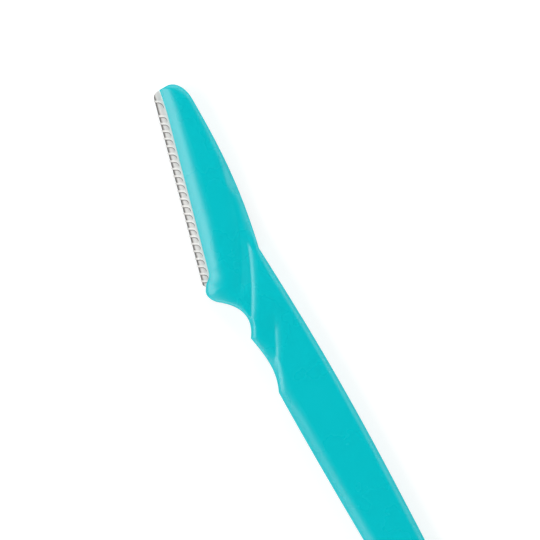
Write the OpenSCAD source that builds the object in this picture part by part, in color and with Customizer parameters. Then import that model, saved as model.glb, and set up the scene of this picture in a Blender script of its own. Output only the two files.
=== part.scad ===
// Eyebrow razor: a slim moulded handle, a steel blade cast into its head and a stamped
// safety guard folded over the cutting edge. It lies on its flat grip with the tip at -X,
// the tail at +X and the cutting edge towards -Y. Z is 0 on the face that it rests on.

/* [Overall] */
// Length from the tip of the head to the end of the tail
length = 150; // [140:1:170]

/* [Grip] */
// Width of the grip at its widest
grip_w = 9.55; // [9:0.05:11]
// Thickness of the grip between its flat faces
grip_t = 3.8; // [3.4:0.1:4.6]
// Width of the rounded tail end
tail_w = 4.8; // [4:0.1:6.5]
// Radius along the edges of the grip on the spine side
spine_r = 1.05; // [0.8:0.05:1.3]
// Radius along the edges of the grip on the finger side
finger_r = 1.5; // [1:0.05:1.6]
// Radius round the edges of the tail
tail_r = 1.2; // [0.9:0.05:1.4]

/* [Head] */
// Height of the spine of the head above the centreline
head_rise = 6.17; // [5.8:0.01:6.8]
// Height of the spine at the neck above the centreline
neck_rise = 3.83; // [3.5:0.01:4.2]
// Distance of the neck ahead of the end of the blade
neck_lead = 0.8; // [0.4:0.1:1.4]
// Length of the rounded front corner along the spine
tip_len = 3.8; // [3:0.1:5]
// Height of that corner
tip_drop = 2.57; // [2.2:0.01:3]
// Radius round the edges of the tip
tip_r = 0.8; // [0.6:0.05:1]
// Radius along the edge of the spine at the neck
neck_r = 1.5; // [1.1:0.05:1.7]
// Thickness of the head on the crown of its pad
head_t = 3.2; // [2.8:0.05:3.6]
// Thickness in the valley between the pad and the grip
web_t = 2.6; // [2.2:0.05:2.9]
// Thickness of the plastic lip along the guard
lip_t = 1.2; // [1:0.05:1.5]
// How far the lip hangs lower at the very tip
lip_droop = 0.3; // [0:0.05:0.4]
// Width of the round shoulder that falls to the lip
shoulder_w = 2.4; // [1.8:0.1:3]
// Width over which the pad falls into the valley
pad_fall_w = 2.6; // [2:0.1:3.4]
// Slant of the valley against the centreline
valley_tilt = 25.7; // [23:0.1:28]
// Distance of the valley ahead of the first ridge, along the centreline
valley_lead = 5.9; // [5:0.1:6.6]

/* [Finger rests] */
// Distance of the lowest point of the heel behind the end of the blade
heel_set = 1.68; // [1.4:0.02:2]
// How far the heel stays inside the line of the cutting edge
heel_shy = 0.24; // [0.1:0.02:0.4]
// Radius of the heel
heel_r = 1.7; // [1.4:0.05:2]
// Length of the first finger rest
rest1_len = 7.7; // [7:0.1:9]
// Distance of its floor from the centreline
rest1_floor = 3.4; // [3.1:0.05:3.7]
// Distance of the peak between the rests from the centreline
peak_drop = 4.45; // [4.2:0.05:4.7]
// Length of the second finger rest
rest2_len = 9.9; // [9:0.1:12]
// Distance of its floor from the centreline
rest2_floor = 3.79; // [3.5:0.01:4]
// Radius along the edge of the heel
heel_edge_r = 1.05; // [0.8:0.05:1.2]
// Radius along the edge of the first rest
rest1_r = 0.6; // [0.4:0.05:0.9]
// Radius along the edge of the second rest
rest2_r = 1; // [0.7:0.05:1.3]

/* [Ridges] */
// Height of the step at the first ridge
ridge1_h = 0.32; // [0.2:0.02:0.4]
// Height of the step at the second ridge
ridge2_h = 0.24; // [0.16:0.02:0.34]
// Width of the slope of each step
ridge_w = 0.45; // [0.3:0.05:0.6]
// Slant of the first ridge against the centreline
ridge1_tilt = 28; // [26:0.2:30]
// Slant of the second ridge
ridge2_tilt = 25.4; // [23.4:0.2:27.4]
// Distance from the low end of each ridge to the peak behind it
ridge_lead = 1.45; // [1.2:0.05:1.8]
// Height above the centreline at which the first ridge begins
ridge1_rise = 3.6; // [3:0.1:4.2]
// Height above the centreline at which the second ridge begins
ridge2_rise = 1.4; // [0.8:0.1:2.4]
// Length over which a ridge rises out of the face
ridge_fade = 3.6; // [2.6:0.1:4.6]
// Width of the scoop ahead of the second ridge
scoop_w = 3.4; // [2.8:0.1:3.8]

/* [Blade] */
// Length of the cutting edge, from the plane of the tip
blade_len = 32.1; // [30:0.1:36]
// Width of the steel strip
blade_w = 3.8; // [3.4:0.1:4.2]
// Thickness of the steel strip
blade_t = 0.2; // [0.16:0.02:0.3]
// Width of steel and guard that stands out of the plastic
exposure = 1.5; // [1.3:0.05:1.8]
// Width of the ground bevel on each face
bevel_w = 0.4; // [0.3:0.02:0.5]
// Slant of the cutting edge against the centreline
edge_tilt = 14.5; // [13:0.1:16]
// Height of the cutting edge above the centreline at the tip
edge_rise = 0.95; // [0.7:0.05:1.2]
// Radius of the front corner of the blade and guard
corner_r = 1.15; // [0.8:0.05:1.2]
// Set-back of the hidden part of the strip behind the tip
strip_back = 1.1; // [0.8:0.1:2]
// Diameter of the anchor holes in the strip
anchor_d = 1.1; // [0.8:0.05:1.3]
// Number of anchor holes
anchors = 5; // [3:1:7]

/* [Guard] */
// Thickness of the guard foil
foil_t = 0.1; // [0.08:0.01:0.14]
// Width of each flank of the guard, from its fold
flank_w = 2.3; // [2.1:0.05:2.5]
// Width of one bar over the edge
bar_w = 0.33; // [0.26:0.01:0.4]
// Distance from one bar to the next
bar_pitch = 1.26; // [1.1:0.02:1.5]
// Width of the long first window
first_window_w = 2.14; // [1.7:0.02:2.6]
// Plain land between the tip and the first bar
land_w = 1.1; // [0.9:0.05:1.4]
// Height of the open corner ahead of the first bar, which shows the ground edge
corner_open_h = 0.46; // [0.3:0.02:0.6]
// Height of the windows above the cutting edge
window_h = 1.2; // [1:0.02:1.24]
// Lean of the bars towards the tail
bar_lean = 14.5; // [10:0.5:18]
// Radius of the upper front corner of a window
window_r = 0.62; // [0.4:0.02:0.8]
// Gap between the cutting edge and the inside of the fold
edge_gap = 0.03; // [0.02:0.01:0.06]
// Clearance of the steel in the plastic, and of the guard on the blade
fit_gap = 0.02; // [0.01:0.01:0.04]

/* [Hidden] */
half_t = grip_t / 2;
tip_x = -length / 2;
overrun = 4 * grip_t;
slope_step = ridge_w / 4;
// Counts of the rings along the handle, of the rows across it and of steps on a curve
tip_rings = 9;
head_rings = 24;
hook_rings = 6;
heel_rings = 8;
rest1_rings = 16;
rest2_rings = 20;
grip_rings = 16;
tail_rings = 8;
curve_steps = 16;
low_rows = 5;
high_rows = 4;
arc_steps = 8;
round_fn = 48;
// The last ring of the tail, as a share of the quarter turn
tail_end_share = 0.9;
// The least distance of two rows, the most that one rounded edge takes of the width,
// and the most that it takes of the half thickness
row_gap_share = 0.012;
edge_zone_share = 0.42;
wall_share = 0.66;

// How far in the ridges reach their full height, as a share of the rounded edge
hold_share = 1.8;
// The radius of the long first window, as a share of its height
first_round_share = 0.92;

// Thickness over both flanks of the guard, and where the outside of its fold lies
guard_t = blade_t + 2 * fit_gap + 2 * foil_t;
fold_v = -edge_gap - foil_t;

// Places along the handle are measured from the tip, and heights from the centreline.
function edge_point(u, v) = [
    u * cos(edge_tilt) + v * sin(edge_tilt),
    edge_rise - u * sin(edge_tilt) + v * cos(edge_tilt)
];
blade_end = edge_point(blade_len, 0);
neck = [blade_end.x - neck_lead, neck_rise];
hook_share = 0.06;
hook_start = edge_point(blade_len * (1 - hook_share), exposure);
lip_start = [0, edge_rise + exposure / cos(edge_tilt) - lip_droop];
lip_line = [tip_len, edge_rise + exposure / cos(edge_tilt) - tip_len * tan(edge_tilt)];
heel_x = blade_end.x + heel_set;
heel_low = [heel_x, edge_rise - heel_x * tan(edge_tilt) + heel_shy];
heel_start_shares = [-0.68, 0.32];
heel_end_shares = [1.15, 0.59];
heel_start = heel_low + heel_r * heel_start_shares;
heel_end = heel_low + heel_r * heel_end_shares;
peak = [heel_end.x + rest1_len, -peak_drop];
grip_start = [peak.x + rest2_len, -grip_w / 2];
tail_x = length - tail_w / 2;
crest_share = 0.34;
crest = [neck.x + (tail_x - neck.x) * crest_share / (1 + crest_share), grip_w / 2];

// A cubic curve from a to b. Its two handles are shares of the box that they name.
function bend(a, b, box, pull) = let(
    p = a + [box.x * pull[0].x, box.y * pull[0].y],
    q = a + [box.x * pull[1].x, box.y * pull[1].y]
) [for (k = [0:curve_steps - 1]) let(t = k / curve_steps, s = 1 - t)
    s * s * s * a + 3 * s * s * t * p + 3 * s * t * t * q + t * t * t * b];

tip_shares = [[0, 0.55], [0.45, 1]];
head_spine_shares = [[0.46, 0.1], [0.71, -0.29]];
neck_spine_shares = [[0.31, 0.54], [0.62, 1]];
grip_spine_shares = [[0.19, 0], [0.43, -0.43]];
lip_shares = [[0.3, 0.2], [0.7, 0.7]];
hook_shares = [[0.65, -0.22], [0.57, -0.68]];
heel_front_shares = [[0.3, -0.5], [0.6, -1]];
heel_back_shares = [[0.36, 0], [0.72, 0.4]];
rest1_shares = [[0.31, 1.09], [0.64, 1.33]];
rest2_shares = [[0.37, 1.04], [0.67, 1.85]];
grip_low_shares = [[0.25, -0.04], [0.48, 0.45]];

spine = concat(
    bend([0, head_rise - tip_drop], [tip_len, head_rise], [tip_len, tip_drop], tip_shares),
    bend([tip_len, head_rise], neck, [neck.x - tip_len, head_rise - neck_rise],
        head_spine_shares),
    bend(neck, crest, crest - neck, neck_spine_shares),
    bend(crest, [tail_x, tail_w / 2], [tail_x - crest.x, crest.y - tail_w / 2],
        grip_spine_shares),
    [[tail_x, tail_w / 2]]
);
finger_side = concat(
    bend(lip_start, lip_line, lip_line - lip_start, lip_shares),
    [lip_line],
    bend(hook_start, heel_start, [heel_start.x - hook_start.x, hook_start.y - heel_start.y],
        hook_shares),
    bend(heel_start, heel_low, [heel_low.x - heel_start.x, heel_start.y - heel_low.y],
        heel_front_shares),
    bend(heel_low, heel_end, heel_end - heel_low, heel_back_shares),
    bend(heel_end, peak, [rest1_len, -rest1_floor - heel_end.y], rest1_shares),
    bend(peak, grip_start, [rest2_len, peak_drop - rest2_floor], rest2_shares),
    bend(grip_start, [tail_x, -tail_w / 2], [tail_x - grip_start.x, (grip_w - tail_w) / 2],
        grip_low_shares),
    [[tail_x, -tail_w / 2]]
);

// Outline of the handle at a place along it, and the cosine of its slope there
function tail_half(x) = sqrt(max(0, pow(tail_w / 2, 2) - pow(x - tail_x, 2)));
function high_y(x) = x > tail_x ? tail_half(x) : lookup(x, spine);
function low_y(x) = x > tail_x ? -tail_half(x) : lookup(x, finger_side);
function slope_cos(a, b) = cos(atan2(abs(b - a), 2 * slope_step));
function high_cos(x) = slope_cos(high_y(x - slope_step), high_y(x + slope_step));
function low_cos(x) = slope_cos(low_y(x - slope_step), low_y(x + slope_step));

// Width of the rounded edge along each side
function high_r(x) = lookup(x, [
    [0, tip_r], [neck.x / 2, tip_r], [neck.x - neck_lead, neck_r], [heel_end.x, spine_r],
    [grip_start.x, spine_r], [tail_x, tail_r]
]);
function low_r(x) = lookup(x, [
    [hook_start.x, shoulder_w], [heel_start.x, heel_edge_r], [heel_end.x, heel_edge_r],
    [heel_end.x + rest1_len / 4, rest1_r], [peak.x, (rest1_r + rest2_r) / 2],
    [peak.x + rest2_len / 4, rest2_r], [grip_start.x, finger_r], [tail_x, tail_r]
]);

// The slanting lines on both faces: the valley behind the pad and the two ridges
ridge1_x = peak.x - ridge_lead;
ridge2_x = grip_start.x - ridge_lead / 2;
function ridge1_y(x) = (ridge1_x - x) * tan(ridge1_tilt) - rest1_floor;
function ridge2_y(x) = (ridge2_x - x) * tan(ridge2_tilt) - rest2_floor;
valley_x = ridge1_x - valley_lead;
function valley_y(x) = (valley_x - x) * tan(valley_tilt) - rest1_floor;
ridge1_fade_x = ridge1_x - (ridge1_rise + rest1_floor) / tan(ridge1_tilt);
ridge2_fade_x = ridge2_x - (ridge2_rise + rest2_floor) / tan(ridge2_tilt);

// Half the thickness, before the edges are rounded
function clamp(t) = max(0, min(1, t));
function ease(t) = let(c = clamp(t)) c * c * (3 - 2 * c);
function fade(x, start) = ease((x - start) / ridge_fade);
function hold(x, y) = ease(low_depth(x, y) / low_r(x) / hold_share);
function step_w(x) = ridge_w + (1 - fade(x, ridge1_fade_x)) * pad_fall_w;
function web_half(x, y) = let(
    down = (ridge1_y(x) - y) * cos(ridge1_tilt),
    up = (y - valley_y(x)) * cos(valley_tilt),
    step = ridge1_h * ease(down / step_w(x)) * hold(x, y),
    rest = half_t - ridge1_h - web_t / 2
) half_t - step - rest * ease(down / max(down + up, ridge_w));
function pad_half(x, y) = let(
    over = (valley_y(x) - y) * cos(valley_tilt)
) web_t / 2 + (head_t - web_t) / 2 * ease(over / pad_fall_w);
function scoop(x, y) = let(
    down = (ridge2_y(x) - y) * cos(ridge2_tilt)
) down <= 0 ? 0 : ridge2_h * fade(x, ridge2_fade_x) * ease(down / ridge_w)
    * (1 - ease((down - ridge_w) / scoop_w)) * hold(x, y);
function plain_half(x, y) =
    y >= ridge1_y(x) ? half_t - scoop(x, y) :
    y >= valley_y(x) ? web_half(x, y) : pad_half(x, y);

// Distance in from the outline on the spine side, round the tip and round the tail
function high_depth(x, y) = let(
    rise = y - head_rise + tip_drop,
    a = (tip_len - x) / tip_len,
    b = max(0, rise) / tip_drop,
    ring = norm([a, b])
) x > tail_x ? tail_w / 2 - norm([x - tail_x, y]) :
    x >= tip_len ? (high_y(x) - y) * high_cos(x) :
    rise <= 0 ? x : (1 - ring) * ring / norm([a / tip_len, b / tip_drop]);
function low_depth(x, y) = x > tail_x ? tail_w / 2 - norm([x - tail_x, y]) :
    (y - low_y(x)) * low_cos(x);

// How much a rounded edge takes off the half thickness, and the softer shoulder of the pad
function round_off(d, r, h) = d >= r ? 0 : h * (1 - sqrt(1 - pow(1 - clamp(d / r), 2)));
function shoulder_off(d) = (head_t - lip_t) / 2 * (1 - sin(90 * clamp(d / shoulder_w)));
function face_z(x, y) = let(
    flat = plain_half(x, y),
    most = wall_share * flat,
    hr = high_r(x),
    lr = low_r(x),
    d = max(0, low_depth(x, y)),
    on_pad = 1 - ease((x - hook_start.x) / (heel_start.x - hook_start.x)),
    low_off = on_pad * shoulder_off(d) + (1 - on_pad) * round_off(d, lr, min(lr, most)),
    high_off = round_off(max(0, high_depth(x, y)), hr, min(hr, most))
) flat - min(most, max(low_off, high_off));

// Rings along the handle
function span(a, b, n) = [for (k = [0:n - 1]) a + (b - a) * k / n];
rings = concat(
    [for (k = [0:tip_rings - 1]) tip_len * (1 - cos(90 * k / tip_rings))],
    span(tip_len, hook_start.x, head_rings),
    span(hook_start.x, heel_start.x, hook_rings),
    span(heel_start.x, heel_end.x, heel_rings),
    span(heel_end.x, peak.x, rest1_rings),
    span(peak.x, grip_start.x, rest2_rings),
    span(grip_start.x, tail_x, grip_rings),
    [for (k = [0:tail_rings]) tail_x + tail_w / 2
        * sin(90 * tail_end_share * k / tail_rings) / sin(90 * tail_end_share)]
);

// Rows across one ring: the rounded edges, and between them the lines on the face
function marks(x) = let(
    v = valley_y(x),
    r1 = ridge1_y(x),
    r2 = ridge2_y(x),
    slope1 = step_w(x) / cos(ridge1_tilt),
    slope2 = ridge_w / cos(ridge2_tilt)
) [v - pad_fall_w, v - pad_fall_w / 2, v, (v + r1 - slope1) / 2, r1 - slope1,
    r1 - slope1 / 2, r1, r2 - slope2 - scoop_w, r2 - slope2 - scoop_w / 2, r2 - slope2,
    r2 - slope2 / 2, r2];
function row_ys(x) = let(
    low = low_y(x),
    high = high_y(x),
    wide = high - low,
    low_zone = min(low_r(x) / low_cos(x), wide * edge_zone_share),
    high_zone = min(high_r(x) / high_cos(x), wide * edge_zone_share),
    from = low + low_zone,
    to = high - high_zone,
    gap = (to - from) * row_gap_share,
    mark = marks(x),
    last = len(mark),
    rising = [for (k = [0:last - 1]) max([for (m = [0:k]) mark[m] + (k - m) * gap])]
) concat(
    [for (k = [0:low_rows]) low + low_zone * (1 - cos(90 * k / low_rows))],
    [for (k = [0:last - 1])
        min(to - (last - k) * gap, max(from + (k + 1) * gap, rising[k]))],
    [for (k = [high_rows:-1:0]) high - high_zone * (1 - cos(90 * k / high_rows))]
);

module moulded_form() {
    rows = len(row_ys(rings[0]));
    count = len(rings);
    top = [for (x = rings) let(ys = row_ys(x)) for (y = ys) [x, y, face_z(x, y)]];
    under = [for (p = top) [p.x, p.y, -p.z]];
    n = len(top);
    function at(i, j) = i * rows + j;
    faces = concat(
        [for (i = [0:count - 2], j = [0:rows - 2]) each [
            [at(i, j), at(i, j + 1), at(i + 1, j + 1)],
            [at(i, j), at(i + 1, j + 1), at(i + 1, j)],
            [n + at(i, j), n + at(i + 1, j + 1), n + at(i, j + 1)],
            [n + at(i, j), n + at(i + 1, j), n + at(i + 1, j + 1)]]],
        [for (i = [0:count - 2], j = [0, rows - 1]) let(a = at(i, j), b = at(i + 1, j))
            each j == 0 ? [[a, b, n + b], [a, n + b, n + a]] : [[a, n + b, b], [a, n + a, n + b]]],
        [for (i = [0, count - 1], j = [0:rows - 2]) let(a = at(i, j), b = at(i, j + 1))
            each i == 0 ? [[a, n + b, b], [a, n + a, n + b]] : [[a, b, n + b], [a, n + b, n + a]]]
    );
    translate([tip_x, 0, half_t])
        polyhedron(concat(top, under), faces);
}

// Things on the cutting edge: X runs along it from the tip, Y goes into the head and Z is
// 0 in the middle of the steel.
module on_edge() {
    translate([tip_x, edge_rise, half_t])
        rotate([0, 0, -edge_tilt])
            children();
}

module slab(t) {
    translate([0, 0, -t / 2])
        linear_extrude(t)
            children();
}

// Points of an arc about c
function arc(c, r, from, to) = [for (k = [0:arc_steps])
    let(a = from + (to - from) * k / arc_steps) c + r * [cos(a), sin(a)]];

// The steel as seen from above, down to low. Its front lies in the plane of the tip, and
// behind the lip it is stepped back so that plastic closes the front of the slot.
module strip_outline(low, width, gap) {
    lean = tan(edge_tilt);
    corner = [corner_r / cos(edge_tilt) - (low + corner_r) * lean - gap, low + corner_r];
    polygon(concat(
        arc(corner, corner_r, 270, 180 + edge_tilt),
        [
            [-(exposure + gap) * lean - gap, exposure + gap],
            [strip_back - gap, exposure + gap],
            [strip_back - gap, width + gap],
            [blade_len + heel_set + gap, width + gap],
            [blade_len + heel_set + gap, exposure],
            [blade_len + gap, low]
        ]
    ));
}

// A profile drawn across the edge, carried along it
module along_edge() {
    translate([-overrun, 0, 0])
        rotate([90, 0, 90])
            linear_extrude(blade_len + 2 * overrun)
                children();
}

anchor_v = (fold_v + flank_w + blade_w) / 2;
module anchor_row(d) {
    for (k = [0:anchors - 1])
        translate([blade_len * (k + 0.5) / anchors, anchor_v, -overrun / 2])
            cylinder(h = overrun, d = d, $fn = round_fn);
}

// The handle is one moulding. Plastic fills the anchor holes of the steel cast into it.
module handle() {
    color([0, 0.75, 0.79])
        difference() {
            moulded_form();
            on_edge()
                difference() {
                    union() {
                        slab(blade_t + 2 * fit_gap)
                            strip_outline(0, blade_w, fit_gap);
                        slab(guard_t + 2 * fit_gap)
                            strip_outline(fold_v, fold_v + flank_w, fit_gap);
                    }
                    anchor_row(anchor_d - 2 * fit_gap);
                }
        }
}

// The blade is a flat strip, ground on both faces to the cutting edge.
module blade() {
    color([0.72, 0.73, 0.75])
        on_edge()
            difference() {
                intersection() {
                    along_edge()
                        polygon([
                            [0, 0], [bevel_w, -blade_t / 2], [overrun, -blade_t / 2],
                            [overrun, blade_t / 2], [bevel_w, blade_t / 2]
                        ]);
                    slab(overrun)
                        strip_outline(0, blade_w, 0);
                }
                anchor_row(anchor_d);
            }
}

// One window, from below the fold to its rounded upper corner. The bars lean.
module window(start, width, r) {
    lean = tan(bar_lean);
    drop = overrun / 4;
    centre = [start + (window_h - r) * lean + r / cos(bar_lean), window_h - r];
    polygon(concat(
        arc(centre, r, 180 - bar_lean, 90),
        [
            [start + width + window_h * lean, window_h],
            [start + width - drop * lean, -drop],
            [start - drop * lean, -drop]
        ]
    ));
}

module corner_opening() {
    lean = tan(bar_lean);
    drop = overrun / 4;
    polygon([
        [-drop, -drop],
        [land_w - drop * lean, -drop],
        [land_w + corner_open_h * lean, corner_open_h],
        [-drop, corner_open_h]
    ]);
}

// The guard is a foil folded over the edge, with windows stamped across the fold.
module guard() {
    inner = blade_t / 2 + fit_gap;
    fold = [inner - edge_gap, 0];
    row_start = land_w + bar_w + first_window_w + bar_w;
    windows = floor((blade_len - row_start) / bar_pitch) + 1;
    color([0.9, 0.89, 0.87])
        on_edge()
            difference() {
                intersection() {
                    along_edge()
                        polygon(concat(
                            arc(fold, guard_t / 2, 90, 270),
                            [[overrun, -guard_t / 2], [overrun, -inner]],
                            arc(fold, inner, 270, 90),
                            [[overrun, inner], [overrun, guard_t / 2]]
                        ));
                    slab(overrun)
                        strip_outline(fold_v, fold_v + flank_w, 0);
                }
                slab(overrun) {
                    corner_opening();
                    window(land_w + bar_w, first_window_w, window_h * first_round_share);
                    for (k = [0:windows - 1])
                        window(row_start + k * bar_pitch, bar_pitch - bar_w, window_r);
                }
            }
}

handle();
blade();
guard();
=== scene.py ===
# Eyebrow razor: a moulded handle, a steel blade cast into its head and a stamped guard over
# the cutting edge. The tip points to -X, the tail to +X and the cutting edge to -Y, and the
# razor lies on Z = 0. The pieces are worked out in millimetres until a mesh is finished.
import math

import bmesh
import bpy
import numpy as np
from mathutils import Matrix, Vector
from mathutils.geometry import interpolate_bezier


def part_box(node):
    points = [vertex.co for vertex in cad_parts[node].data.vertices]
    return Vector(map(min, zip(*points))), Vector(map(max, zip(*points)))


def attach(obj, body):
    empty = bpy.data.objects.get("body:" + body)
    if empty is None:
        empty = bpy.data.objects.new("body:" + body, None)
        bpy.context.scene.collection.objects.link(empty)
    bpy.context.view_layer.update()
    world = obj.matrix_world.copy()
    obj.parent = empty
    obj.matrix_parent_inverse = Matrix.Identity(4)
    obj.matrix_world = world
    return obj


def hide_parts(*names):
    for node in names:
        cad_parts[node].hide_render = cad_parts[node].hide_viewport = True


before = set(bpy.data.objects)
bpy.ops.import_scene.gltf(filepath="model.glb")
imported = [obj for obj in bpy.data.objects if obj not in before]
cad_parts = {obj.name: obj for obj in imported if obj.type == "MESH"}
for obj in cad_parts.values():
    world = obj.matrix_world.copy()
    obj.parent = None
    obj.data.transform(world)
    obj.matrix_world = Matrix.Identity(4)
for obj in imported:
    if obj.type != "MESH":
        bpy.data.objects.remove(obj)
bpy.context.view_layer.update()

# Handle
# One injection moulding in satin plastic, shot round the blade. Its head carries a soft pad,
# two low steps slant across both faces where the fingers rest, and the flat grip narrows to a
# round tail. The mould closes along the middle of its edge.
MM = 0.001
handle_low, handle_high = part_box("handle")
length = (handle_high.x - handle_low.x) / MM
grip_t = (handle_high.z - handle_low.z) / MM
half_t = grip_t / 2
# The outline, seen from above
grip_w = 9.55
tail_w = 4.8
head_rise = 6.168
neck_rise = 3.83
neck_lead = 0.8
tip_len = 3.8
tip_drop = 2.57
crest_share = 0.34 / 1.34
lip_droop = 0.3
heel_set = 1.68
heel_shy = 0.24
heel_r = 1.7
heel_front = Vector((-0.68, 0.32))
heel_rear = Vector((1.15, 0.59))
hook_share = 0.94
rest1_len = 7.7
rest1_floor = 3.4
peak_drop = 4.45
rest2_len = 9.9
rest2_floor = 3.79
# Thicknesses, and the way the soft edges round off
head_t = 3.2
web_t = 2.3
lip_t = 0.8
neck_dip = 0.25
neck_dip_len = 13
soft_power = 1.6
blend_power = 4
rim_w = 0.42
rim_fall = 0.22
# The valley behind the head's pad
pad_fall_w = 3.4
valley_tilt = math.radians(22)
valley_lead = 3.75
valley_rise = 4.2
valley_bow = 1.73
valley_fade = 5
valley_close = 2.5
# The two ridges, which end beside the finger rests
ridge1_h = 0.39
ridge2_h = 0.36
roll_w = 1.4
foot_w = 0.4
ridge1_tilt = math.radians(25.1)
ridge2_tilt = math.radians(26)
ridge1_bow = 0.58
ridge2_bow = 0.2
ridge1_lead = 2.36
ridge2_lead = 3.2
ridge1_rise = 3.09
ridge2_rise = 0.9
ridge1_fade = 2.5
ridge_fade = 4
ridge_loss = 0.4
ridge1_loss_lead = 1.6
ridge2_loss_lead = 3.2
scoop_w = 3.4
# The blade's place in the head
blade_len = 32.1
exposure = 1.5
edge_tilt = math.radians(14.5)
edge_rise = 0.95
# The rows of the mesh
edge_zone_share = 0.42
low_rows = 12
high_rows = 10
row_gap_share = 0.003
weld_gap = 0.0001


def edge_point(along, inward):
    """A place beside the cutting edge, from the middle of the tip's front plane."""
    return Vector((
        along * math.cos(edge_tilt) + inward * math.sin(edge_tilt),
        edge_rise - along * math.sin(edge_tilt) + inward * math.cos(edge_tilt),
    ))


def bend(a, b, box, pull_a, pull_b):
    """A cubic curve from a to b, whose two handles are shares of a box that starts at a."""
    p = a + Vector((box[0] * pull_a[0], box[1] * pull_a[1]))
    q = a + Vector((box[0] * pull_b[0], box[1] * pull_b[1]))
    steps = 48
    return interpolate_bezier(a, p, q, b, steps)[:-1]


blade_end = edge_point(blade_len, 0)
tip_top = Vector((0, head_rise - tip_drop))
head_top = Vector((tip_len, head_rise))
neck = Vector((blade_end.x - neck_lead, neck_rise))
tail_x = length - tail_w / 2
crest = Vector((neck.x + (tail_x - neck.x) * crest_share, grip_w / 2))
tail_top = Vector((tail_x, tail_w / 2))
lip_y = edge_rise + exposure / math.cos(edge_tilt)
lip_start = Vector((0, lip_y - lip_droop))
lip_line = Vector((tip_len, lip_y - tip_len * math.tan(edge_tilt)))
hook_start = edge_point(blade_len * hook_share, exposure)
heel_x = blade_end.x + heel_set
heel_low = Vector((heel_x, edge_rise - heel_x * math.tan(edge_tilt) + heel_shy))
heel_start = heel_low + heel_r * heel_front
heel_end = heel_low + heel_r * heel_rear
peak = Vector((heel_end.x + rest1_len, -peak_drop))
grip_start = Vector((peak.x + rest2_len, -grip_w / 2))
tail_low = Vector((tail_x, -tail_w / 2))

spine = (
    bend(tip_top, head_top, (tip_len, tip_drop), (0, 0.55), (0.45, 1))
    + bend(head_top, neck, (neck.x - tip_len, head_rise - neck_rise), (0.46, 0.1), (0.71, -0.29))
    + bend(neck, crest, crest - neck, (0.31, 0.54), (0.62, 1))
    + bend(crest, tail_top, (tail_x - crest.x, crest.y - tail_top.y), (0.19, 0), (0.43, -0.43))
    + [tail_top]
)
finger_side = (
    bend(lip_start, lip_line, lip_line - lip_start, (0.3, 0.2), (0.7, 0.7))
    + [lip_line]
    + bend(hook_start, heel_start, (heel_start.x - hook_start.x, hook_start.y - heel_start.y),
           (0.65, -0.22), (0.57, -0.68))
    + bend(heel_start, heel_low, (heel_low.x - heel_start.x, heel_start.y - heel_low.y),
           (0.3, -0.5), (0.6, -1))
    + bend(heel_low, heel_end, heel_end - heel_low, (0.36, 0), (0.72, 0.4))
    + bend(heel_end, peak, (rest1_len, -rest1_floor - heel_end.y), (0.31, 1.09), (0.64, 1.33))
    + bend(peak, grip_start, (rest2_len, peak_drop - rest2_floor), (0.37, 1.04), (0.67, 1.85))
    + bend(grip_start, tail_low, (tail_x - grip_start.x, (grip_w - tail_w) / 2),
           (0.25, -0.04), (0.48, 0.45))
    + [tail_low]
)
spine_x, spine_y = np.array(spine).T
finger_x, finger_y = np.array(finger_side).T
arc_steps = 24
tail_arc = [Vector((tail_x + tail_w / 2 * math.sin(a), tail_w / 2 * math.cos(a)))
            for a in np.linspace(0, math.pi / 2, arc_steps + 1)]
high_edge = np.array([Vector((0, lip_start.y))] + spine + tail_arc[1:])
low_edge = np.array(finger_side + [Vector((p.x, -p.y)) for p in tail_arc[1:]])
# The soft edges of the spine and of the finger side: at a place along the razor, how far in
# they reach and how far they fall, as a share of that.
high_round = np.array([
    (0, 1.7, 0.29), (tip_len, 0.85, 0.31), (neck.x / 2, 1.05, 0.31), (neck.x * 0.7, 1.9, 0.31),
    (neck.x - 5, 2.4, 0.3), (neck.x - 3, 2.2, 0.3), (neck.x - 1, 1.3, 0.31), (neck.x, 1.1, 0.31),
    (heel_end.x, 1.05, 0.5), (grip_start.x, 1.05, 0.5), (tail_x, 1.5, 0.4),
]).T
low_round = np.array([
    (0, 2.5, 0.36), (hook_start.x * 0.74, 3.1, 0.36), (hook_start.x, 2.5, 0.36),
    (heel_low.x, 3.2, 0.34), (heel_end.x + 1, 1.5, 0.36), ((heel_end.x + peak.x) / 2, 0.5, 0.4),
    (peak.x - 2, 0.9, 0.36), (peak.x + 1, 1.6, 0.28), (peak.x + 2.5, 1.9, 0.32),
    ((peak.x + grip_start.x) / 2, 1.6, 0.34),
    (grip_start.x - 1, 2.1, 0.28), (grip_start.x + rest2_len / 2, 2.35, 0.4), (tail_x, 1.5, 0.4),
]).T
ridge1_end = Vector((peak.x - ridge1_lead, -rest1_floor))
ridge2_end = Vector((grip_start.x - ridge2_lead, -rest2_floor))
ridge1_start = ridge1_end - Vector(((ridge1_rise + rest1_floor) / math.tan(ridge1_tilt),
                                    -ridge1_rise - rest1_floor))
ridge2_start = ridge2_end - Vector(((ridge2_rise + rest2_floor) / math.tan(ridge2_tilt),
                                    -ridge2_rise - rest2_floor))
valley_end = ridge1_end - Vector((valley_lead, 0))
valley_start = valley_end - Vector(((valley_rise + rest1_floor) / math.tan(valley_tilt),
                                    -valley_rise - rest1_floor))


def bowed_line(x, a, b, bow):
    """Height at x of a line from a to b that bows up in its middle and runs on straight."""
    u = 2 * (x - a.x) / (b.x - a.x) - 1
    c = max(-1.0, min(1.0, u))
    return a.y + (b.y - a.y) * (u + 1) / 2 + bow * (1 - c * (2 * u - c))


def step(over):
    """How far down a ridge's face is, from 1 at its foot to 0 where it has rolled level."""
    wide = roll_w + foot_w
    if over <= foot_w:
        return 1 - max(0.0, over) ** 2 / (foot_w * wide)
    return max(0.0, wide - over) ** 2 / (roll_w * wide)


def ease(t):
    """A smooth step from 0 to 1."""
    t = max(0.0, min(1.0, t))
    return t * t * (3 - 2 * t)


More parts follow.
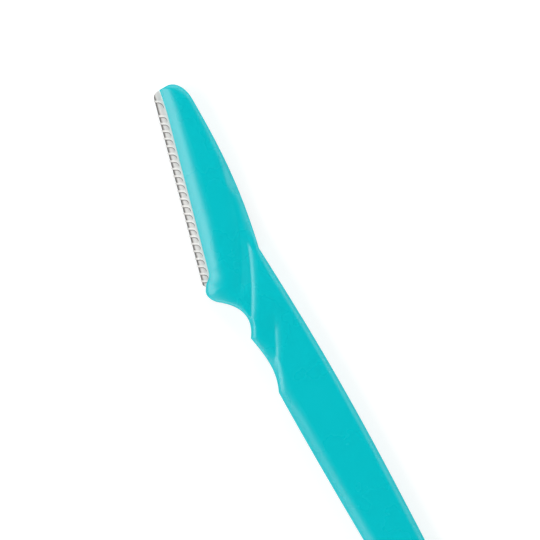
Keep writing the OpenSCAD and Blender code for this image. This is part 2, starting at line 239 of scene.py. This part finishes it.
def outline_y(x, side):
    """Height of the spine (side 1) or of the finger side (side -1) at a place along it."""
    if x > tail_x:
        return side * math.sqrt(max(0.0, (tail_w / 2) ** 2 - (x - tail_x) ** 2))
    return float(np.interp(x, spine_x, spine_y) if side > 0 else np.interp(x, finger_x, finger_y))


class Station:
    """One section across the handle: its outline, its rounded edges and the slanting lines."""

    def __init__(self, x):
        reach = foot_w / 4
        self.x = x
        self.low, self.high = outline_y(x, -1), outline_y(x, 1)
        self.low_cos, self.high_cos = (
            math.cos(math.atan2(abs(outline_y(x + reach, s) - outline_y(x - reach, s)), 2 * reach))
            for s in (-1, 1)
        )
        self.low_w, low_share = (float(np.interp(x, low_round[0], row)) for row in low_round[1:])
        self.high_w, high_share = (
            float(np.interp(x, high_round[0], row)) for row in high_round[1:])
        self.low_fall, self.high_fall = self.low_w * low_share, self.high_w * high_share
        self.ridge1 = bowed_line(x, ridge1_start, ridge1_end, ridge1_bow)
        self.ridge2 = bowed_line(x, ridge2_start, ridge2_end, ridge2_bow)
        self.valley = bowed_line(x, valley_start, valley_end, valley_bow)
        self.ridge1_rises = ease((x - ridge1_start.x) / ridge1_fade) * (
            1 - ridge_loss * ease((x - ridge1_end.x + ridge1_loss_lead) / ridge_fade))
        self.foot = half_t - ridge1_h - neck_dip * (1 - ease((x - ridge1_start.x) / neck_dip_len))
        self.ridge2_rises = ease((x - ridge2_start.x) / ridge_fade) * (
            1 - ridge_loss * ease((x - ridge2_end.x + ridge2_loss_lead) / ridge_fade))
        opens = ease((x - valley_start.x) / valley_fade)
        closes = ease((x - valley_end.x) / valley_close + 1)
        self.web_half = head_t / 2 - (head_t - web_t) / 2 * opens
        self.web_half += (self.foot - self.web_half) * closes
        self.low_rim = rim_fall * float(np.interp(x, (hook_start.x, heel_low.x), (0, 1)))

    def rows(self):
        """Heights across the section, gathered on the rounded edges and on the lines."""
        wide = self.high - self.low
        low_zone = min(self.low_w / self.low_cos, wide * edge_zone_share)
        high_zone = min(self.high_w / self.high_cos, wide * edge_zone_share)
        start, end = self.low + low_zone, self.high - high_zone
        foot1, foot2 = foot_w / math.cos(ridge1_tilt), foot_w / math.cos(ridge2_tilt)
        roll1, roll2 = roll_w / math.cos(ridge1_tilt), roll_w / math.cos(ridge2_tilt)
        stretches = [
            (start, self.valley - pad_fall_w, 4), (self.valley - pad_fall_w, self.valley, 6),
            (self.valley, self.ridge1, 6), (self.ridge1, self.ridge1 + foot1, 3),
            (self.ridge1 + foot1, self.ridge1 + foot1 + roll1, 6),
            (self.ridge1 + foot1 + roll1, self.ridge2 - scoop_w, 4),
            (self.ridge2 - scoop_w, self.ridge2, 6), (self.ridge2, self.ridge2 + foot2, 3),
            (self.ridge2 + foot2, self.ridge2 + foot2 + roll2, 6),
            (self.ridge2 + foot2 + roll2, end, 5),
        ]
        marks = [a + (b - a) * k / n
                 for a, b, n in stretches for k in range(1 if a == start else 0, n)]
        gap = (end - start) * row_gap_share
        count = len(marks)
        heights = [self.low + low_zone * (1 - math.cos(math.pi / 2 * k / low_rows))
                   for k in range(low_rows + 1)]
        rising = -math.inf
        for k, mark in enumerate(marks):
            rising = max(mark, rising + gap)
            heights.append(min(end - (count - k) * gap, max(start + (k + 1) * gap, rising)))
        heights += [self.high - high_zone * (1 - math.cos(math.pi / 2 * k / high_rows))
                    for k in range(high_rows, -1, -1)]
        return heights

    def depth(self, y, edge):
        """Distance in from one side of the outline."""
        start, run = edge[:-1], np.diff(edge, axis=0)
        to = (self.x, y) - start
        share = np.clip((to * run).sum(axis=1) / (run * run).sum(axis=1), 0, 1)
        return float(np.sqrt(((to - run * share[:, None]) ** 2).sum(axis=1).min()))

    def plain_half(self, y):
        """Half the thickness before the edges are rounded."""
        over1 = (y - self.ridge1) * math.cos(ridge1_tilt)
        over2 = (y - self.ridge2) * math.cos(ridge2_tilt)
        if y >= self.ridge1:
            scoop = step(over2) * (1 - ease(-over2 / scoop_w)) * self.ridge2_rises
            return self.foot + ridge1_h * self.ridge1_rises * (1 - step(over1)) - ridge2_h * scoop
        if y >= self.valley:
            up = (y - self.valley) * math.cos(valley_tilt)
            share = -over1 / max(up - over1, foot_w)
            return self.foot - (self.foot - self.web_half) * share
        under = 1 - min(1.0, (self.valley - y) * math.cos(valley_tilt) / pad_fall_w)
        return self.web_half + (head_t / 2 - self.web_half) * (1 - under * under)

    def surface(self, y):
        """Height of the moulded face above the middle plane."""
        flat = self.plain_half(y)

        def round_off(depth, width, fall, rim):
            reach = 1 - min(1.0, depth / rim_w)
            return fall * (1 - min(1.0, depth / width)) ** soft_power + rim * (
                1 - math.sqrt(1 - reach * reach))

        low_off = round_off(self.depth(y, low_edge), self.low_w, self.low_fall, self.low_rim)
        high_off = round_off(self.depth(y, high_edge), self.high_w, self.high_fall, rim_fall)
        if self.x > tail_x:
            return flat - max(low_off, high_off)
        off = (low_off ** blend_power + high_off ** blend_power) ** (1 / blend_power)
        return flat - min(flat - lip_t / 2, off)


tip_steps = 16
tail_steps = 18
tail_turn = math.radians(88)
spans = [
    (tip_len, hook_start.x, 84), (hook_start.x, heel_start.x, 22), (heel_start.x, heel_end.x, 28),
    (heel_end.x, peak.x, 52), (peak.x, grip_start.x, 62), (grip_start.x, tail_x, 60),
]
stations = [tip_len * (1 - math.cos(math.pi / 2 * k / tip_steps)) for k in range(tip_steps)]
stations += [a + (b - a) * k / n for a, b, n in spans for k in range(n)]
stations += [tail_x + tail_w / 2 * math.sin(tail_turn * k / tail_steps) / math.sin(tail_turn)
             for k in range(tail_steps + 1)]
sections = [Station(x) for x in stations]
section_rows = [s.rows() for s in sections]

bm = bmesh.new()
across = len(section_rows[0]) - 1
along = len(sections) - 1
bmesh.ops.create_grid(bm, x_segments=along, y_segments=across, size=1)
for v in bm.verts:
    i, j = round((v.co.x + 1) / 2 * along), round((v.co.y + 1) / 2 * across)
    y = section_rows[i][j]
    v.co = (sections[i].x, y, sections[i].surface(y))
bmesh.ops.remove_doubles(bm, verts=bm.verts, dist=weld_gap)
rim = bmesh.ops.extrude_edge_only(bm, edges=[e for e in bm.edges if e.is_boundary])
for v in (g for g in rim["geom"] if isinstance(g, bmesh.types.BMVert)):
    v.co.z = 0
bmesh.ops.mirror(bm, geom=bm.verts[:] + bm.edges[:] + bm.faces[:], matrix=Matrix.Identity(4),
                 merge_dist=weld_gap, axis="Z")
bmesh.ops.translate(bm, verts=bm.verts, vec=(handle_low.x / MM, 0, half_t))
bmesh.ops.scale(bm, verts=bm.verts, vec=(MM, MM, MM))
bmesh.ops.recalc_face_normals(bm, faces=bm.faces)
for face in bm.faces:
    face.smooth = True
handle_mesh = bpy.data.meshes.new("moulded_handle")
bm.to_mesh(handle_mesh)
bm.free()
handle = bpy.data.objects.new("moulded_handle", handle_mesh)
bpy.context.scene.collection.objects.link(handle)


def add_node(tree, kind, inputs=None, **settings):
    """A node of a material or group, with its settings and what goes into its sockets."""
    made = tree.nodes.new(kind)
    for name, value in settings.items():
        setattr(made, name, value)
    for socket, value in (inputs or {}).items():
        if isinstance(value, bpy.types.NodeSocket):
            tree.links.new(value, made.inputs[socket])
        else:
            made.inputs[socket].default_value = value
    return made


def mix_colours(tree, share, a, b):
    """The colour between a and b. A Mix node's colour sockets are known by number only."""
    made = add_node(tree, "ShaderNodeMix", {"Factor": share, 6: a, 7: b}, data_type="RGBA")
    return made.outputs[2]


def new_group(name, inputs, outputs):
    """An empty shader group with named sockets, and its two end nodes."""
    tree = bpy.data.node_groups.new(name, "ShaderNodeTree")
    for socket, (kind, value) in inputs.items():
        made = tree.interface.new_socket(socket, in_out="INPUT", socket_type=kind)
        if value is not None:
            made.default_value = value
    for socket in outputs:
        tree.interface.new_socket(socket, in_out="OUTPUT", socket_type="NodeSocketFloat")
    return tree, tree.nodes.new("NodeGroupInput"), tree.nodes.new("NodeGroupOutput")


# Mottle is how polish and colour drift over any made surface: slow clouds with a finer grain.
mottle, mottle_in, mottle_out = new_group(
    "mottle",
    {"Vector": ("NodeSocketVector", None), "Cloud Size": ("NodeSocketFloat", 120.0),
     "Grain Size": ("NodeSocketFloat", 9000.0)},
    ["Cloud", "Grain"],
)
cloud = add_node(mottle, "ShaderNodeTexNoise", {
    "Vector": mottle_in.outputs["Vector"], "Scale": mottle_in.outputs["Cloud Size"],
    "Detail": 3.0, "Roughness": 0.5})
grain = add_node(mottle, "ShaderNodeTexNoise", {
    "Vector": mottle_in.outputs["Vector"], "Scale": mottle_in.outputs["Grain Size"],
    "Detail": 2.0, "Roughness": 0.6})
mottle.links.new(cloud.outputs["Fac"], mottle_out.inputs["Cloud"])
mottle.links.new(grain.outputs["Fac"], mottle_out.inputs["Grain"])


def new_material(name):
    """A material whose shader is ready, with object coordinates."""
    material = bpy.data.materials.new(name)
    material.use_nodes = True
    tree = material.node_tree
    place = add_node(tree, "ShaderNodeTexCoord").outputs["Object"]
    return material, tree, tree.nodes["Principled BSDF"], place


plastic, tree, shader, place = new_material("satin_teal_plastic")
drift = add_node(tree, "ShaderNodeGroup", {"Vector": place, "Cloud Size": 140.0,
                                           "Grain Size": 11000.0}, node_tree=mottle)
teal = mix_colours(tree, drift.outputs["Cloud"], (0.0, 0.495, 0.54, 1), (0.0, 0.515, 0.565, 1))
polish = add_node(tree, "ShaderNodeMapRange", {
    "Value": drift.outputs["Cloud"], "To Min": 0.25, "To Max": 0.30})
relief = add_node(tree, "ShaderNodeBump", {
    "Height": drift.outputs["Grain"], "Strength": 0.05, "Distance": 0.00002})
tree.links.new(teal, shader.inputs["Base Color"])
tree.links.new(polish.outputs["Result"], shader.inputs["Roughness"])
tree.links.new(relief.outputs["Normal"], shader.inputs["Normal"])
shader.inputs["IOR"].default_value = 1.49
shader.inputs["Subsurface Weight"].default_value = 0.4
shader.inputs["Subsurface Radius"].default_value = (0.3, 1.0, 1.0)
shader.inputs["Subsurface Scale"].default_value = 1.2 * MM
handle_mesh.materials.append(plastic)
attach(handle, "root")
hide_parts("handle")

# Blade
# A stainless strip, ground on both faces to the cutting edge. The plastic holds it through a
# row of anchor holes, so only its outer part shows, in the windows of the guard.
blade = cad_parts["blade"]
# The ground bevel is painted dark, standing in for its shade and dark reflection.
bevel_w = 0.4
bevel_dark_share = 0.45
bevel_fade = 0.06


def band_from_edge(tree, place, near, far):
    """A mask that rises from 0 to 1 between two distances in from the cutting edge."""
    level = add_node(tree, "ShaderNodeMapping", {
        "Vector": place, "Rotation": (0, 0, edge_tilt)})
    from_edge = add_node(tree, "ShaderNodeSeparateXYZ", {"Vector": level.outputs["Vector"]})
    edge = Matrix.Rotation(edge_tilt, 3, "Z") @ Vector((handle_low.x, edge_rise * MM, 0))
    band = add_node(tree, "ShaderNodeMapRange", {
        "Value": from_edge.outputs["Y"], "From Min": edge.y + near * MM,
        "From Max": edge.y + far * MM, "To Min": 0.0, "To Max": 1.0})
    return band.outputs["Result"]


strip, tree, shader, place = new_material("ground_strip_steel")
# Painted shade: the ground bevel along the cutting edge is painted nearly black, in place of the
# dark reflection of the tilted bevel.
painted_bevel_shade = band_from_edge(tree, place, bevel_w * bevel_dark_share, bevel_w + bevel_fade)
steel = mix_colours(tree, painted_bevel_shade, (0.15, 0.145, 0.14, 1), (0.87, 0.855, 0.835, 1))
tree.links.new(steel, shader.inputs["Base Color"])
shader.inputs["Metallic"].default_value = 0.3
shader.inputs["Roughness"].default_value = 0.5
blade.data.materials.clear()
blade.data.materials.append(strip)

# Guard
# A strip of bright stainless foil, stamped with a row of windows and folded over the edge, so
# that only narrow leaning bars cross it. The punch leaves a sheared lip along the front and the
# inner side of each window, painted dark as the shadow along those sides, and the fold is
# painted a little darker as shade. Both flanks are held in the plastic.
guard_low, guard_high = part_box("guard")
foil_t = 0.1
fold_r = ((guard_high.z - guard_low.z) / MM - foil_t) / 2
fold_v = 0.09
flank_v = 2.17
band_v = 1.35
corner_r = 1.15
strip_back = 1.1
bar_w = 0.33
bar_pitch = 1.26
first_window_w = 2.14
land_w = 1.1
corner_open_h = 0.46
window_h = 1.2
window_r = 0.7
first_round_share = 0.88
bar_lean = math.radians(14.5)
# The sheared lip strips along each window, which carry a painted shadow.
lip_w = 0.085
lip_sink = 0.06
lip_curl = 1.5
lip_fade = 6
# Painted shade on the fold, where the foil turns over the edge.
fold_painted_shade = 0.4
# Painted shade on the foil beside the plastic wall, from this far in from the edge.
wall_shade_v = 1.4
wall_shade_fade = 0.08
burnish_w = 0.012
fold_rows = 6
window_steps = 8
side_steps = 4
lean = math.tan(bar_lean)
fold_vs = [fold_v - fold_r * math.cos(math.pi / 2 * k / fold_rows) for k in range(fold_rows + 1)]


def upright(u, heights, stop=math.inf):
    """A leaning column of foil, from the fold to the end of the flank."""
    return [(u + min(v, stop) * lean, v) for v in fold_vs + heights]


def window_arc(start, r):
    """The round upper front corner of a window."""
    centre = Vector((start + (window_h - r) * lean + r / math.cos(bar_lean), window_h - r))
    turns = np.linspace(math.pi - bar_lean, math.pi / 2, window_steps + 1)
    return [centre + r * Vector((math.cos(a), math.sin(a))) for a in turns]


def rear_end(v):
    """Where the guard ends behind the blade."""
    return blade_len + (v - fold_v + fold_r) * (heel_set / (exposure - fold_v + fold_r))


corner_v = fold_v - fold_r - foil_t / 2 + corner_r
corner_u = corner_r / math.cos(edge_tilt) - corner_v * math.tan(edge_tilt)
front = [(corner_u - math.sqrt(corner_r ** 2 - (corner_open_h - corner_v) ** 2), corner_open_h)]
front += [(-v * math.tan(edge_tilt), v) for v in (window_h, band_v)] + [(strip_back, flank_v)]
front = front[:1] * (fold_rows + 1) + front
first_bar = upright(land_w, [corner_open_h, window_h, band_v, flank_v])
columns = [front, [((a[0] + b[0]) / 2, b[1]) for a, b in zip(front, first_bar)]]
row_start = land_w + bar_w + first_window_w + bar_w
windows = [(land_w + bar_w, window_h * first_round_share)]
windows += [(row_start + k * bar_pitch, window_r)
            for k in range(int((blade_len - row_start) / bar_pitch) + 1)]
solid_columns, punched = [len(columns)], []
for start, r in windows:
    arc = window_arc(start, r)
    columns.append(upright(start - bar_w, [corner_open_h, window_h, band_v, flank_v]))
    columns.append(upright(start, [arc[0].y / 2, arc[0].y, band_v, flank_v], arc[0].y))
    punched.append(arc)
    for point in arc[1:]:
        columns.append([(point.x, point.y)] * (fold_rows + 3)
                       + [(point.x, band_v), (point.x, flank_v)])
    solid_columns.append(len(columns))
columns.append([(rear_end(window_h), window_h)] * (fold_rows + 3)
               + [(rear_end(band_v), band_v), (blade_len + heel_set, flank_v)])

bm = bmesh.new()
painted_shade_layer = bm.verts.layers.float.new("painted_shade")
last, rows = len(columns) - 1, fold_rows + 4
bmesh.ops.create_grid(bm, x_segments=last, y_segments=rows, size=1)
holes = []
for face in bm.faces:
    centre = face.calc_center_median()
    i, j = int((centre.x + 1) / 2 * last), int((centre.y + 1) / 2 * rows)
    if (j <= fold_rows + 1 and i not in solid_columns) or (i < 2 and j <= fold_rows):
        holes.append(face)
for v in bm.verts:
    i, j = round((v.co.x + 1) / 2 * last), round((v.co.y + 1) / 2 * rows)
    turn = math.pi / 2 * min(j, fold_rows) / fold_rows
    v.co = (*columns[i][j], fold_r * math.sin(turn))
    # The fold rows take a little painted shade.
    v[painted_shade_layer] = fold_painted_shade if j <= fold_rows else 0.0
bmesh.ops.delete(bm, geom=holes, context="FACES")
# Strips of sheared lip along the front and the inner side of each window, painted fully dark as
# the shadow that falls beside those sides.
for (start, r), arc in zip(windows, punched):
    side = [Vector((start + v * lean, v)) for v in np.linspace(fold_v, arc[0].y, side_steps + 1)]
    chain = side[:-1] + arc + [arc[-1] + Vector((bar_w / 2, 0))]
    steps = len(chain) - 1
    made = bmesh.ops.create_grid(bm, x_segments=steps, y_segments=2, size=1)["verts"]
    for v in made:
        i, share = round((v.co.x + 1) / 2 * steps), (v.co.y + 1) / 2
        run = (chain[min(i + 1, steps)] - chain[max(i - 1, 0)]).normalized()
        inward = Vector((run.y, -run.x)) * lip_w * share * (1 - (i / steps) ** lip_fade)
        v.co = (*(chain[i] + inward), fold_r - lip_sink * share ** lip_curl)
        v[painted_shade_layer] = 1.0
bmesh.ops.mirror(bm, geom=bm.verts[:] + bm.edges[:] + bm.faces[:], matrix=Matrix.Identity(4),
                 merge_dist=weld_gap, axis="Z")
for v in bm.verts:
    v.co = (*edge_point(v.co.x, v.co.y), v.co.z + half_t)
bmesh.ops.translate(bm, verts=bm.verts, vec=(handle_low.x / MM, 0, 0))
bmesh.ops.scale(bm, verts=bm.verts, vec=(MM, MM, MM))
bmesh.ops.recalc_face_normals(bm, faces=bm.faces)
for face in bm.faces:
    face.smooth = True
guard_mesh = bpy.data.meshes.new("stamped_guard")
bm.to_mesh(guard_mesh)
bm.free()
guard = bpy.data.objects.new("stamped_guard", guard_mesh)
bpy.context.scene.collection.objects.link(guard)
thick = guard.modifiers.new("foil", "SOLIDIFY")
thick.thickness = foil_t * MM
thick.offset = 0
thick.use_even_offset = True
soft = guard.modifiers.new("burnish", "BEVEL")
soft.width = burnish_w * MM
soft.segments = 2
soft.harden_normals = True
soft.limit_method = "ANGLE"
soft.angle_limit = math.radians(50)

foil, tree, shader, place = new_material("bright_stamped_foil")
painted_shade = add_node(tree, "ShaderNodeAttribute", attribute_name="painted_shade")
drift = add_node(tree, "ShaderNodeGroup", {"Vector": place, "Cloud Size": 600.0,
                                           "Grain Size": 14000.0}, node_tree=mottle)
sheen = mix_colours(tree, drift.outputs["Cloud"], (0.91, 0.89, 0.87, 1), (0.98, 0.965, 0.945, 1))
# Painted shade: the foil just beside the plastic is painted darker, as the shade of the plastic's
# wall.
painted_wall_shade = band_from_edge(tree, place, wall_shade_v, wall_shade_v + wall_shade_fade)
flank = mix_colours(tree, painted_wall_shade, sheen, (0.58, 0.555, 0.55, 1))
# Painted shadow and shade: the lip strips are painted dark and the fold a little darker.
foil_with_painted_shade = mix_colours(tree, painted_shade.outputs["Fac"], flank, (0.22, 0.21, 0.2, 1))
tree.links.new(foil_with_painted_shade, shader.inputs["Base Color"])
shader.inputs["Metallic"].default_value = 0.15
shader.inputs["Roughness"].default_value = 0.5
guard_mesh.materials.append(foil)
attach(guard, "root")
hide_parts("guard")

# Floor
# A pale matt sheet that the razor lies on. It shows white and still takes the soft shadow.
floor_reach = 3000
floor_gap = 0.02
floor_glow = 0.66
floor_mesh = bpy.data.meshes.new("floor")
bm = bmesh.new()
bmesh.ops.create_grid(bm, x_segments=1, y_segments=1, size=floor_reach * MM)
bmesh.ops.translate(bm, verts=bm.verts, vec=(0, 0, -floor_gap * MM))
bm.to_mesh(floor_mesh)
bm.free()
floor = bpy.data.objects.new("floor", floor_mesh)
bpy.context.scene.collection.objects.link(floor)
paper = bpy.data.materials.new("pale_floor")
paper.use_nodes = True
tree = paper.node_tree
matt = tree.nodes["Principled BSDF"]
matt.inputs["Base Color"].default_value = (0.45, 0.45, 0.45, 1)
matt.inputs["Roughness"].default_value = 0.9
seen = add_node(tree, "ShaderNodeLightPath")
shown = add_node(tree, "ShaderNodeMath", {0: seen.outputs["Is Camera Ray"], 1: floor_glow},
                 operation="MULTIPLY")
tree.links.new(shown.outputs[0], matt.inputs["Emission Strength"])
matt.inputs["Emission Color"].default_value = (1, 1, 1, 1)
floor_mesh.materials.append(paper)

# Light and camera
# A white room that darkens overhead, with soft boxes round the razor, and a long lens straight
# above its head. The boxes are placed and sized in metres, by the picture's directions.
room = bpy.data.worlds.new("studio")
bpy.context.scene.world = room
room.use_nodes = True
tree = room.node_tree
sky = tree.nodes["Background"]
view = add_node(tree, "ShaderNodeTexCoord")
height = add_node(tree, "ShaderNodeSeparateXYZ", {"Vector": view.outputs["Generated"]})
fall = add_node(tree, "ShaderNodeMapRange", {
    "Value": height.outputs["Z"], "From Min": 0.35, "From Max": 0.8, "To Min": 0.8,
    "To Max": 0.02}, interpolation_type="SMOOTHSTEP")
seen = add_node(tree, "ShaderNodeLightPath")
level = add_node(tree, "ShaderNodeMath", {
    0: fall.outputs["Result"], 1: seen.outputs["Is Camera Ray"]}, operation="MAXIMUM")
tree.links.new(level.outputs[0], sky.inputs["Strength"])
sky.inputs["Color"].default_value = (1, 1, 1, 1)

view_x = -0.04074
view_y = 0.00366
view_point = Vector((view_x, view_y, handle_low.z + half_t * MM))
view_turn = math.radians(60.86)
image_right = Vector((math.cos(view_turn), math.sin(view_turn), 0))
image_up = Vector((-math.sin(view_turn), math.cos(view_turn), 0))


def soft_box(name, right, up, above, wide, high, radiance):
    """An area light at a place in the picture's directions, aimed at the razor."""
    light = bpy.data.lights.new(name, "AREA")
    light.shape = "RECTANGLE"
    light.size, light.size_y = wide, high
    light.energy = radiance * math.pi * wide * high
    lamp = bpy.data.objects.new(name, light)
    offset = image_right * right + image_up * up + Vector((0, 0, above))
    lamp.location = view_point + offset
    lamp.rotation_euler = offset.to_track_quat("Z", "Y").to_euler()
    bpy.context.scene.collection.objects.link(lamp)
    return lamp


soft_box("left_box", right=-0.56, up=-0.02, above=0.49, wide=0.48, high=0.26, radiance=5.2)
soft_box("right_box", right=0.50, up=0.335, above=0.44, wide=0.72, high=0.36, radiance=1.35)
fill = soft_box("right_fill", right=0.62, up=0.38, above=0.44, wide=0.60, high=0.40, radiance=2.6)
fill.visible_glossy = False
soft_box("upper_box", right=-0.06, up=0.66, above=0.36, wide=0.80, high=0.30, radiance=3.0)
soft_box("lower_box", right=-0.22, up=-0.57, above=0.40, wide=0.66, high=0.44, radiance=2.9)

camera_data = bpy.data.cameras.new("camera")
camera_data.lens = 200
camera_data.clip_start = 0.01
field_w = 87.75 * MM
distance = field_w * camera_data.lens / camera_data.sensor_width
camera = bpy.data.objects.new("camera", camera_data)
camera.location = view_point + Vector((0, 0, distance))
camera.rotation_euler = (0, 0, view_turn)
bpy.context.scene.collection.objects.link(camera)
bpy.context.scene.camera = camera
bpy.context.scene.view_settings.view_transform = "Standard"
